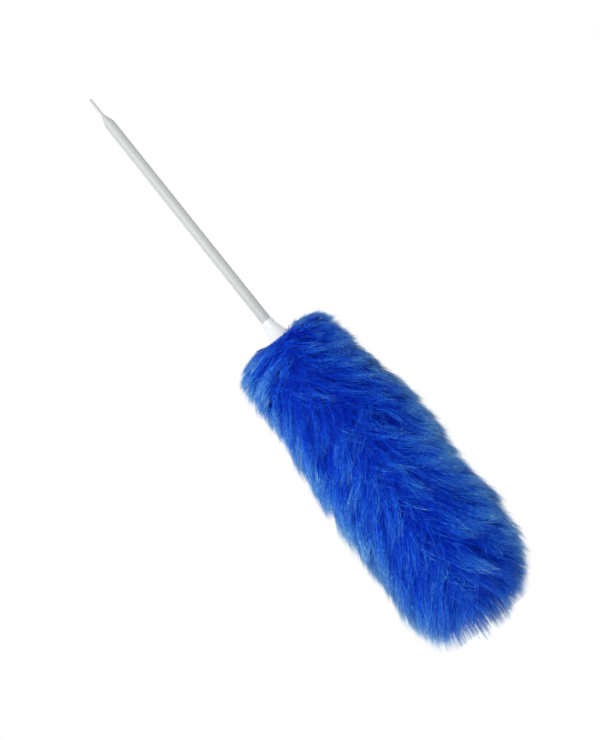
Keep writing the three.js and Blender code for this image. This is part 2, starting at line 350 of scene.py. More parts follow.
def makeHandle():
    radius, bore = handle["radius"], handle["radius"] - handle["wall"]
    top, bottom = tubeHigh.z, tubeLow.z
    boreTop = top - handle["tabLength"] - handle["shoulder"] - handle["boreEnd"]
    foot = softCorners(
        [(bore, boreTop), (bore, bottom), (radius, bottom), (radius, bottom + handle["footRun"])],
        handle["edge"])
    shaft = np.linspace(bottom + handle["shaftStart"], boreTop, handle["shaftRows"])
    shoulder = np.linspace(boreTop, top - handle["tabLength"], handle["shoulderRows"])[1:]
    tab = np.linspace(top - handle["tabLength"], top - handle["tabCorner"], handle["tabRows"])[1:]
    turn = np.linspace(0, np.pi / 2, handle["cornerRows"])
    end = top - handle["tabCorner"] * (1 - np.sin(turn[1:-3]))
    outer = np.concatenate((shaft, shoulder, tab, end))
    roll = np.linspace(0, np.pi / 2, handle["tipRows"])
    rounded = np.stack((radius * (handle["tipFlat"] + (1 - handle["tipFlat"]) * np.cos(roll)),
                        end[-1] + (top - end[-1]) * np.sin(roll)), -1)[1:]
    profile = np.vstack(([(0, boreTop)], foot, np.stack((np.full(len(outer), radius), outer), -1),
                         rounded, [(0, top)]))
    points, corners, counts = turnedArrays(profile, handle["around"])
    plastic = hardFinish("handlePlastic", handle["look"])
    piece = newObject("handle_tube_drawn", pressedTube(points), corners, counts, plastic)
    # the hole's cutter widens towards both flats, which eases the hole's edges
    half, ease, hole = handle["tabThickness"] / 2, handle["holeEase"], handle["holeRadius"]
    wide, far = hole + 3 * ease, 3 * half
    side = np.array([(0, -far), (wide, -far), (wide, -half - 2 * ease), (hole, -half + ease),
                     (hole, half - ease), (wide, half + 2 * ease), (wide, far), (0, far)])
    cutPoints, cutCorners, cutCounts = turnedArrays(side, handle["holeAround"])
    cutter = newObject("holeCutter", cutPoints[:, [2, 0, 1]], cutCorners, cutCounts, plastic)
    cutting = piece.modifiers.new("hangHole", "BOOLEAN")
    cutting.object = cutter
    cutting.solver = "EXACT"
    bpy.context.view_layer.update()
    solid = bpy.data.meshes.new_from_object(piece.evaluated_get(bpy.context.evaluated_depsgraph_get()))
    piece.modifiers.clear()
    piece.data = solid
    solid.set_sharp_from_angle(angle=math.radians(handle["sharp"]))
    bpy.data.objects.remove(cutter)
    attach(piece, "handle")
    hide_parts("handle_tube")
    print("handle: %d faces" % len(solid.polygons))


makeHandle()


# Collar: thin rim, short neck, trumpet flare, and a stop inside for the tube's end
collar = dict(
    socket=5.7 * mm, rimWall=0.7 * mm, neck=4 * mm, neckTaper=0.1 * mm, lip=2 * mm,
    stopBelowRim=18.3 * mm, stop=2.5 * mm, coreHole=4.7 * mm, skirt=14.5 * mm, skirtWall=1.3 * mm,
    flarePower=1.45, edge=0.35 * mm, around=112, outsideRows=30, insideRows=8, sharp=50,
    look=dict(base=(0.85, 0.865, 0.86), tint=(0.72, 0.735, 0.72), cloud=0.12, scuff=0.05, smooth=0.24,
              bump=0.03, bumpDepth=0.0002, gloss=0.5),
)


def flareRadius(z):
    # neck radius growing to the skirt's as a power of the distance below the neck
    flareTop = collarHigh.z - collar["neck"]
    along = np.clip((flareTop - z) / (flareTop - collarLow.z), 0, 1)
    neck = collar["socket"] + collar["rimWall"] + collar["neckTaper"]
    return neck + (collar["skirt"] - neck) * along ** collar["flarePower"]


def makeCollar():
    rim, low = collarHigh.z, collarLow.z
    stopTop = rim - collar["stopBelowRim"]
    stopLow = stopTop - collar["stop"]
    outside = np.linspace(low, rim - collar["neck"], collar["outsideRows"])
    inside = np.linspace(stopLow, low, collar["insideRows"])
    rimRadius = collar["socket"] + collar["rimWall"]
    lip = (collar["socket"], rim - collar["lip"])
    inner = softCorners(
        [lip, (collar["socket"], stopTop), (collar["coreHole"], stopTop), (collar["coreHole"], stopLow),
         (flareRadius(stopLow) - collar["skirtWall"], stopLow)], collar["edge"])
    skirtIn = np.stack((flareRadius(inside) - collar["skirtWall"], inside), -1)[1:-1]
    foot = softCorners(
        [skirtIn[-1], (flareRadius(low) - collar["skirtWall"], low), (flareRadius(low), low),
         (flareRadius(outside[1]), outside[1])], collar["edge"])[1:-1]
    skirtOut = np.stack((flareRadius(outside), outside), -1)[1:]
    top = softCorners([skirtOut[-1], (rimRadius, rim), (collar["socket"], rim), lip], collar["edge"])[1:-1]
    profile = np.vstack((inner, skirtIn, foot, skirtOut, top))
    points, corners, counts = turnedArrays(profile, collar["around"], closed=True)
    plastic = hardFinish("collarPlastic", collar["look"])
    piece = newObject("collar_moulded", points, corners, counts, plastic, sharpAngle=collar["sharp"])
    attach(piece, "head")
    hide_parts("collar")
    print("collar: %d faces" % len(counts))


makeCollar()


# Wooden core: a dowel with a turned-down spigot for the tube, a chamfer on top and the tack's hole below
core = dict(
    radius=4.5 * mm, spigot=4.0 * mm, spigotLength=50.3 * mm, chamfer=1.5 * mm, edge=0.3 * mm, around=96,
    hole=0.9 * mm, holeDepth=12.3 * mm, endRun=4 * mm, bodyRows=24, sharp=40,
    look=dict(early=(0.74, 0.55, 0.31), late=(0.56, 0.36, 0.16), pore=(0.36, 0.21, 0.09),
              bands=(0.34, 0.52, 0.56, 0.72), grain=(210, 210, 7), pores=(1700, 1700, 45),
              poreRange=(0.58, 0.74, 0.0, 0.7), smooth=(0.52, 0.78), gloss=0.3,
              bump=0.25, bumpDepth=0.0003),
)


def woodFinish(name, look):
    # bands of early and late wood drawn out along Z, with short dark pores in them
    material, nodes, shader = newMaterial(name)
    place = nodes.new("ShaderNodeTexCoord").outputs["Object"]
    grain = addNoise(nodes, addStretch(nodes, place, look["grain"]), 1, 5, 0.55, 0.8)
    pores = addNoise(nodes, addStretch(nodes, place, look["pores"]), 1, 2, 0.6)
    bands = addRamp(nodes, grain, tuple(zip(look["bands"], (look["early"], look["late"]) * 2)))
    colour = addNode(nodes, "ShaderNodeMix", {"B": (*look["pore"], 1)}, data_type="RGBA")
    join(addRange(nodes, pores, *look["poreRange"]), colour.inputs["Factor"])
    join(bands, colour.inputs["A"])
    join(colour.outputs["Result"], shader.inputs["Base Color"])
    join(addRange(nodes, grain, 0, 1, *look["smooth"]), shader.inputs["Roughness"])
    addBump(nodes, pores, look, shader).invert = True
    shader.inputs["Specular IOR Level"].default_value = look["gloss"]
    return material


def makeCore():
    low, high = coreLow.z, coreHigh.z
    shoulder = high - core["spigotLength"]
    wide, thin, run = core["radius"], core["spigot"], core["endRun"]
    end = softCorners(
        [(core["hole"], low + core["holeDepth"]), (core["hole"], low), (wide, low), (wide, low + run)],
        core["edge"])
    body = [(wide, z) for z in np.linspace(low + 2 * run, shoulder - run, core["bodyRows"])]
    top = softCorners(
        [(wide, shoulder - run / 2), (wide, shoulder), (thin, shoulder), (thin, high - core["chamfer"]),
         (thin - core["chamfer"], high), (0, high)], core["edge"])
    profile = np.vstack(([(0, low + core["holeDepth"])], end, body, top))
    points, corners, counts = turnedArrays(profile, core["around"])
    wood = woodFinish("coreWood", core["look"])
    piece = newObject("core_dowel_turned", points, corners, counts, wood, sharpAngle=core["sharp"])
    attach(piece, "head")
    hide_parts("core_dowel")
    print("core: %d faces" % len(counts))


makeCore()


# Hide: the strip wound down the core and the round patch over the core's end, suede side out
hide = dict(
    thickness=2.0 * mm, inner=4.8 * mm, pitch=40 * mm, width=38.5 * mm, edge=0.5 * mm, perTurn=72,
    patchHole=0.9 * mm, around=88, sharp=50,
    look=dict(dye=(0.30, 0.40, 0.66), worn=(0.44, 0.51, 0.68), deep=(0.16, 0.24, 0.50),
              dyeStops=(0.32, 0.5, 0.7), cloud=60, nap=900, napRange=(0.5, 0.8, 0.0, 0.6),
              smooth=(0.78, 0.98), gloss=0.1, bump=0.6, bumpDepth=0.0004, sheen=0.35),
)


def suedeFinish(name, look):
    # cloudy dye with paler rubbed places, under a short nap of fine noise
    material, nodes, shader = newMaterial(name)
    place = nodes.new("ShaderNodeTexCoord").outputs["Object"]
    cloud = addNoise(nodes, place, look["cloud"], 4, 0.6)
    nap = addNoise(nodes, place, look["nap"], 4, 0.7)
    dyes = look["deep"], look["dye"], look["worn"]
    dye = addRamp(nodes, cloud, tuple(zip(look["dyeStops"], dyes)))
    colour = addNode(nodes, "ShaderNodeMix", {"B": (*look["worn"], 1)}, data_type="RGBA")
    join(addRange(nodes, nap, *look["napRange"]), colour.inputs["Factor"])
    join(dye, colour.inputs["A"])
    join(colour.outputs["Result"], shader.inputs["Base Color"])
    join(addRange(nodes, cloud, 0, 1, *look["smooth"]), shader.inputs["Roughness"])
    addBump(nodes, nap, look, shader)
    setInputs(shader, {"Specular IOR Level": look["gloss"], "Sheen Weight": look["sheen"]})
    return material


suede = suedeFinish("hideSuede", hide["look"])
stripTurn = 2 * math.pi * (stripHigh.z - stripLow.z - hide["width"]) / hide["pitch"]


def makeHideStrip():
    # the strip's section, radius by height, carried down a helix: z falls by the pitch in each turn
    half = hide["width"] / 2
    outer = hide["inner"] + hide["thickness"]
    section = softCorners([(hide["inner"], half), (hide["inner"], -half), (outer, -half), (outer, half)],
                          hide["edge"], closed=True)
    steps = int(hide["perTurn"] * stripTurn / (2 * math.pi)) + 1
    turn = np.linspace(0, stripTurn, steps)[:, None]
    radius, height = section[:, 0], section[:, 1] + stripHigh.z - half
    drop = hide["pitch"] * turn / (2 * np.pi)
    points = np.stack((radius * np.cos(turn), radius * np.sin(turn), height - drop), -1)
    around = len(section)
    quads = gridQuads(steps, around)
    caps = np.concatenate((np.arange(around)[::-1], np.arange(around) + (steps - 1) * around))
    corners = np.concatenate((quads.ravel(), caps))
    counts = np.concatenate((np.full(len(quads), 4), (around, around)))
    piece = newObject("hide_strip_wound", points.reshape(-1, 3), corners, counts, suede,
                      sharpAngle=hide["sharp"])
    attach(piece, "head")
    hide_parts("hide_strip")
    print("hide strip: %d faces" % len(counts))


def makeTipPatch():
    low, high, wide, hole = patchLow.z, patchHigh.z, patchHigh.x, hide["patchHole"]
    profile = softCorners([(hole, low), (wide, low), (wide, high), (hole, high)], hide["edge"], closed=True)
    points, corners, counts = turnedArrays(profile, hide["around"], closed=True)
    piece = newObject("tip_patch_cut", points, corners, counts, suede, sharpAngle=hide["sharp"])
    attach(piece, "head")
    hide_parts("tip_patch")
    print("tip patch: %d faces" % len(counts))


makeHideStrip()
makeTipPatch()


# Tacks: domed heads on short pointed shanks, two through the strip's ends and one through the patch
tacks = dict(
    head=2.5 * mm, headHeight=0.9 * mm, headEdge=(0.97, 0.1), domeFrom=0.25, domeRows=9, shank=0.6 * mm,
    point=1.6 * mm, length=5.6 * mm, fromEnd=6 * mm, seat=0.3 * mm, patchHead=3.5 * mm, around=40, sharp=40,
    look=dict(base=(0.48, 0.49, 0.51), tint=(0.34, 0.33, 0.32), cloud=0.35, scuff=0.3, smooth=0.26,
              bump=0.04, bumpDepth=0.0001, metal=1.0),
)


def tackArrays(head, length):
    # a head whose dome is h sin a over r cos a, on a shank that runs down to its point
    height, shank, start = tacks["headHeight"], tacks["shank"], tacks["domeFrom"]
    under, edge = tacks["headEdge"]
    turn = np.linspace(start, np.pi / 2, tacks["domeRows"])
    dome = np.stack((head * np.cos(turn) / np.cos(start), height * np.sin(turn)), -1)[:-1]
    profile = np.vstack(([(0, -length), (shank, tacks["point"] - length), (shank, 0), (under * head, 0),
                          (head, edge * height)], dome, [(0, height)]))
    return turnedArrays(profile, tacks["around"])


def addTack(name, node, points, corners, counts, steel):
    piece = newObject(name, points, corners, counts, steel, sharpAngle=tacks["sharp"])
    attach(piece, "head")
    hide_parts(node)


def makeTacks():
    steel = hardFinish("tackSteel", tacks["look"])
    outer = hide["inner"] + hide["thickness"]
    inset = tacks["fromEnd"] / outer
    points, corners, counts = tackArrays(tacks["head"], tacks["length"])
    for name, node, turn in (("strip_tack_top_driven", "strip_tack_top", inset),
                             ("strip_tack_bottom_driven", "strip_tack_bottom", stripTurn - inset)):
        out = points[:, 2] + outer + tacks["seat"]
        x = out * math.cos(turn) + points[:, 1] * math.sin(turn)
        y = out * math.sin(turn) - points[:, 1] * math.cos(turn)
        z = stripHigh.z - hide["width"] / 2 - hide["pitch"] * turn / (2 * math.pi) + points[:, 0]
        addTack(name, node, np.stack((x, y, z), -1), corners, counts, steel)
    tackLow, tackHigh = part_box("patch_tack")
    points, corners, counts = tackArrays(tacks["patchHead"], tackHigh.z - tackLow.z - tacks["headHeight"])
    place = np.stack((points[:, 0], -points[:, 1], tackLow.z + tacks["headHeight"] - points[:, 2]), -1)
    addTack("patch_tack_driven", "patch_tack", place, corners, counts, steel)
    print("tacks: 3 of %d faces" % len(counts))


makeTacks()


# Wool: strands in small locks in large locks, their tips on the outline of the pile
wool = dict(
    # outline of the pile
    length=fleeceHigh.z - tipLow.z + 4 * mm, topRadius=56 * mm, bodyRadius=67 * mm,
    swellStart=60 * mm, swellEnd=160 * mm, topRound=36 * mm, topPower=2.6, tipRound=76 * mm, tipPower=2.0,
    fluff=4.5 * mm, fluffRadius=40 * mm, farthest=77 * mm, outlineStart=0.06, outlineRows=6000,
    # its drift to one side, in mm at depths in mm
    leanDepth=(0, 60, 110, 135, 200, 260, 300, 335, 355, 370),
    lean=(-4, -2.5, 0.5, 1, -3.5, -1, -6, -11, -12, -8),
    # a strand's way from the hide to the outline; a noise is its strength and its length
    rootRadius=7.2 * mm, rootTop=5 * mm, lag=128 * mm, lagRun=95 * mm, lagSide=0.12, topLift=3 * mm,
    lagNoise=(0.12, 90 * mm), sweepNoise=(0.16, 75 * mm), sweepPower=1.5, bendOut=0.64, bendDown=0.40,
    # parting along the front and the back
    parting=0.6, partPlace=0.16, partEase=0.65, partLift=0.5, partPower=3.2, partEnd=30 * mm,
    partStray=0.26, wanderNoise=(0.14, 160 * mm), sideShort=0.45,
    # top of the pile: hollow round the collar, tilt, and tufts as x, y, height and width in mm
    dip=8 * mm, dipGain=1.6, dipRadius=34 * mm, dipRun=12 * mm, topSet=2.0 * mm, topSetRun=25 * mm,
    topTilt=0.11, topTiltRun=30 * mm, tuftRun=30 * mm,
    topTufts=((-14, -7, 8, 7), (46, -10, 4, 9), (-48, -20, 3, 14), (22, -12, 7, 6), (-25, -12, 6, 6),
              (33, -14, 4, 5)),
    # locks: how many, how far they scatter, and how tightly they gather
    seed=41, largeLocks=640, smallLocks=29, strands=6, bands=10, tipBands=2,
    arcJitter=2 * mm, angleJitter=0.03, largeSpread=8.0 * mm, smallSpread=0.6 * mm, leastRadius=12 * mm,
    largeClump=0.85, largeClumpPower=3, smallClump=0.35, smallClumpSpan=(0.5, 1.4), smallClumpPower=1.3,
    uneven=0.075, unevenSpan=(-1.4, 2), smallInset=0.03, twist=(0.16, 0.16), slip=6 * mm,
    evenShare=0.6, evenFrom=70 * mm, evenTo=15 * mm,
    # strands: where each starts and ends, its rings, waves in mm and girth
    reach=1.04, outerShare=0.65, outerSpread=0.13, innerSpread=0.5, leastReach=1 * mm, leastRun=0.15,
    shown=105 * mm, shownSpan=(0.85, 1.15), startSpan=(0.12, 0.75), steps=(0.0, 0.45, 0.85, 1.0),
    wave=(0.2, 0.8, 1.2, 1.6), frizz=(0.2, 0.4, 0.5, 0.8), waveLimit=2,
    thickness=0.14 * mm, thicknessSpan=(0.7, 1.25), girth=(1.0, 1.0, 0.65),
    coarse=0.10, coarseEnd=(0.7, 0.9), coarseGirth=2.1,
    # places on the colour map: tone across it, dye level up it, with painted rim light: the level raised
    # towards the sides, the top and the end of the head
    # painted shade: the tone darkened further down the head
    shades=(0.10, 0.32, 0.06), paintedShadeDown=0.20, paintedShadeFrom=0.4, toneSpan=(0.02, 0.97),
    dyeStart=0.3, dyeRun=0.75, dyeLimit=0.97, paintedRimShare=0.19, paintedRimBase=0.45, paintedRimGain=0.55,
    paintedRimSide=(0.57, 0.98), paintedRimTop=0.22, paintedRimTopRun=60 * mm, paintedRimEnd=(50 * mm, 8 * mm),
    mapWidth=0.012, mapHeight=0.02, mapSpan=(0.002, 0.998),
    # finish; the dye's palest stops also carry the painted rim light
    dye=((0.42, (0.002, 0.032, 0.66)), (0.57, (0.002, 0.048, 0.76)), (0.68, (0.007, 0.094, 0.87)),
         (0.76, (0.018, 0.16, 0.96)), (0.84, (0.055, 0.28, 1.0)), (0.92, (0.14, 0.43, 1.0)),
         (1.0, (0.32, 0.61, 1.0))),
    # crimp on the map: painted glints and shade, lighter and darker stretches along each lock
    crimpScale=(14, 30), crimpRange=(0.3, 0.7), paintedCrimpGlintShift=0.09,
    paintedCrimpGlintTones=((0.3, (0.4, 0.46, 0.76)), (0.5, (1.0, 1.0, 1.0)), (0.7, (1.35, 1.32, 1.15))),
    tones=((0.0, (0.28, 0.36, 0.66)), (0.5, (1.0, 1.0, 1.0)), (1.0, (1.4, 1.35, 1.06))),
    rough=0.7, gloss=0.04, sheen=1.0, sheenRough=0.3, sheenTint=(0.3, 0.62, 1.0), ownRound=0.3,
)
woolTop = fleeceHigh.z


def pileRadius(fromTop):
    # body radius swelling with depth, rounded off at both ends by (1 - x^p)^(1/p)
    body = wool["topRadius"] + (wool["bodyRadius"] - wool["topRadius"]) * smoothStep(
        fromTop, wool["swellStart"], wool["swellEnd"])
    topEdge = np.clip(1 - fromTop / wool["topRound"], 0, 1)
    tipEdge = np.clip(1 - (wool["length"] - fromTop) / wool["tipRound"], 0, 1)
    topPart = (1 - topEdge ** wool["topPower"]) ** (1 / wool["topPower"])
    tipPart = (1 - tipEdge ** wool["tipPower"]) ** (1 / wool["tipPower"])
    return body * topPart * tipPart


def softNoise(angle, along, length, seed, waves=14, turns=5):
    # sum of sine waves with whole numbers of turns round the head and random slants along it
    draw = np.random.default_rng(seed)
    total = np.zeros(np.broadcast(angle, along).shape)
    for _ in range(waves):
        m = draw.integers(0, turns + 1)
        q = draw.normal() * 2 * np.pi / length
        total = total + np.sin(m * angle + q * along + draw.uniform(0, 2 * np.pi))
    return total / math.sqrt(waves / 2)


outlineTurn = np.linspace(wool["outlineStart"], np.pi, wool["outlineRows"])
outlineDepth = wool["length"] * (1 - np.cos(outlineTurn)) / 2
outlineRadius = pileRadius(outlineDepth)
outlineRadius = outlineRadius + wool["fluff"] * np.minimum(1, outlineRadius / wool["fluffRadius"])
outlineArc = np.concatenate(([0], np.cumsum(np.hypot(np.diff(outlineDepth), np.diff(outlineRadius)))))
outlineSlope = np.arctan2(np.gradient(outlineRadius), np.gradient(outlineDepth))
outlineArea = np.concatenate(
    ([0], np.cumsum(np.diff(outlineArc) * (outlineRadius[1:] + outlineRadius[:-1]) / 2)))


def tipPlace(arc, angle):
    # distance along the outline into depth and radius, folding back past either end
    arc = np.abs(arc)
    over = arc > outlineArc[-1]
    arc = np.where(over, 2 * outlineArc[-1] - arc, arc)
    angle = np.where(over, angle + np.pi, angle)
    return np.interp(arc, outlineArc, outlineDepth), np.interp(arc, outlineArc, outlineRadius), angle


def leanAt(depth):
    return np.interp(depth, np.array(wool["leanDepth"]) * mm, np.array(wool["lean"]) * mm)


def lagAt(depth):
    return wool["lag"] * (1 - np.exp(-depth / wool["lagRun"]))


def strandPath(depth, radius, angle, t, twist=0.0, slip=0.0, stray=0.0):
    # from the hide to the outline: (1-t)^2 root + 2t(1-t) bend + t^2 tip, in radius, depth and angle
    # strands part along the front and the back: by the parting they run down, at the sides they stand out
    gain, run = wool["wanderNoise"]
    line = angle + wool["partPlace"] - gain * softNoise(0.0, depth, run, 8, waves=6) + stray
    fromSide = (line + np.pi / 2) % np.pi - np.pi / 2
    parting = 1 - smoothStep(depth, wool["length"] - wool["partEnd"], wool["length"])
    fromPart = (fromSide / (np.pi / 2)) ** 2
    aside = wool["parting"] * parting * fromSide * (1 - wool["partEase"] * fromPart ** 2)
    lag = (lagAt(depth) - wool["topLift"]) * (1 - wool["sideShort"] * parting * (1 - fromPart))
    gain, run = wool["lagNoise"]
    lag = lag * (1 - wool["lagSide"] * np.cos(angle)) * (1 + gain * softNoise(angle, depth, run, 5)) + slip
    lag = np.minimum(lag, depth - wool["rootTop"])
    gain, run = wool["sweepNoise"]
    sweep = gain * softNoise(angle, depth, run, 6, turns=4) + twist
    root = wool["rootRadius"]
    bendOut = wool["bendOut"] + wool["partLift"] * parting * fromPart
    bendRadius = root + (radius - root) * bendOut
    bendDepth = depth - lag * (1 - wool["bendDown"])
    a, b, c = (1 - t) ** 2, 2 * t * (1 - t), t ** 2
    r = a * root + b * bendRadius + c * radius
    u = a * (depth - lag) + b * bendDepth + c * depth
    turn = angle + sweep * (t ** wool["sweepPower"] - 1) - aside * t ** wool["partPower"]
    hollow = wool["dip"] * np.clip(1 - r / wool["dipRadius"], 0, 1) * np.exp(-depth / wool["dipRun"])
    u = u + hollow * wool["dipGain"]
    # the whole pile leans to one side by a little that changes down the head; its top leans to the front
    x = r * np.cos(turn) + leanAt(depth) * t ** 2
    y = r * np.sin(turn)
    for tuftX, tuftY, tuftHeight, tuftWidth in wool["topTufts"]:
        away = ((x / mm - tuftX) ** 2 + (y / mm - tuftY) ** 2) / tuftWidth ** 2
        u = u - tuftHeight * mm * np.exp(-away - depth / wool["tuftRun"])
    u = u + wool["topSet"] * np.exp(-depth / wool["topSetRun"])
    u = u - y * wool["topTilt"] * np.exp(-depth / wool["topTiltRun"])
    return np.stack((x, y, woolTop - u), -1)


def makeWoolFinish():
    # dye level up the map, tone across it, and painted glints and shade of the crimp: lighter and darker
    # stretches along each lock
    material, nodes, shader = newMaterial("blueWool")
    place = addNode(nodes, "ShaderNodeUVMap", uv_map="OFBake").outputs["UV"]
    split = nodes.new("ShaderNodeSeparateXYZ")
    join(place, split.inputs["Vector"])
    stretch = addStretch(nodes, place, (*wool["crimpScale"], 1))
    crimp = addNoise(nodes, stretch, 1, 2, 0.5, noise_dimensions="2D")
    shift = addRange(nodes, crimp, *wool["crimpRange"], -wool["paintedCrimpGlintShift"], wool["paintedCrimpGlintShift"])
    level = addNode(nodes, "ShaderNodeMath", operation="ADD", use_clamp=True)
    join(split.outputs["Y"], level.inputs[0])
    join(shift, level.inputs[1])
    colour = addRamp(nodes, level.outputs["Value"], wool["dye"])
    # the tone ramp, then the crimp ramp, which multiplies in painted glints and shade
    for source, stops in ((split.outputs["X"], wool["tones"]), (crimp, wool["paintedCrimpGlintTones"])):
        mixed = addNode(nodes, "ShaderNodeMix", {"Factor": 1.0}, data_type="RGBA", blend_type="MULTIPLY",
                        clamp_result=True)
        join(colour, mixed.inputs["A"])
        join(addRamp(nodes, source, stops), mixed.inputs["B"])
        colour = mixed.outputs["Result"]
    join(colour, shader.inputs["Base Color"])
    setInputs(shader, {"Roughness": wool["rough"], "Specular IOR Level": wool["gloss"],
                       "Sheen Weight": wool["sheen"], "Sheen Roughness": wool["sheenRough"],
                       "Sheen Tint": (*wool["sheenTint"], 1)})
    return material


def strandMesh(name, rings, level, thickness, tone, facing, material, draw):
    # three-cornered rings along each strand's path, drawn in to one point at the tip, closed at the root
    count = len(rings)
    middle = rings[:, -1] - rings[:, 0]
    middle /= np.linalg.norm(middle, axis=1, keepdims=True)
    aside = np.cross(middle, draw.normal(size=(count, 3)))
    aside /= np.linalg.norm(aside, axis=1, keepdims=True)
    third = np.cross(middle, aside)
    spoke = np.arange(3) * (2 * np.pi / 3)
    girth = thickness[:, None] * np.array(wool["girth"])
    offset = aside[:, None, None] * np.cos(spoke)[:, None] + third[:, None, None] * np.sin(spoke)[:, None]
    ringPoints = rings[:, :3, None] + offset * girth[:, :, None, None]
    points = np.concatenate((ringPoints.reshape(count, 9, 3), rings[:, 3:4]), 1)
    k, n = np.arange(3), (np.arange(3) + 1) % 3
    wall = np.stack((k, n, 3 + n, 3 + k), -1)
    point = np.stack((6 + k, 6 + n, np.full(3, 9)), -1)
    pattern = np.concatenate(((2, 1, 0), wall.ravel(), 3 + wall.ravel(), point.ravel()))
    counts = np.tile(np.array([3] + [4] * 6 + [3] * 3), count)
    corners = (np.arange(count)[:, None] * 10 + pattern).ravel()
    piece = newObject(name, points.reshape(-1, 3), corners, counts, material)
    # light falls on a strand as on the pile that it lies in, with a share of its own roundness
    around = facing[:, :3, None] + offset * wool["ownRound"]
    normals = np.concatenate((around.reshape(count, 9, 3), facing[:, 3:4]), 1).reshape(-1, 3)
    normals /= np.linalg.norm(normals, axis=1, keepdims=True)
    softened = piece.data.attributes.new("custom_normal", "FLOAT_VECTOR", "POINT")
    softened.data.foreach_set("vector", np.ascontiguousarray(normals, np.float32).ravel())
    # tone across and length along, with a little width so that every face has an area on the map
    wallU = np.tile(np.array((0, 1, 1, 0)) / 3, 6) + np.repeat(np.tile(k / 3, 2), 4)
    pointU = np.stack((k / 3, (k + 1) / 3, (k + 0.5) / 3), -1).ravel()
    u = np.concatenate(((0, 0.5, 1), wallU, pointU)) * wool["mapWidth"]
    wallRings = np.tile((0, 0, 1, 1), 3)
    ringOf = np.concatenate(((0, 0, 0), wallRings, 1 + wallRings, np.tile((2, 2, 3), 3)))
    v = level[:, ringOf] + np.concatenate(((0, wool["mapHeight"], 0), np.zeros(33)))
    uv = np.clip(np.stack((tone[:, None] + u, v), -1), *wool["mapSpan"])
    layer = piece.data.uv_layers.new(name="OFBake")
    layer.data.foreach_set("uv", np.ascontiguousarray(uv, np.float32).ravel())
    return piece


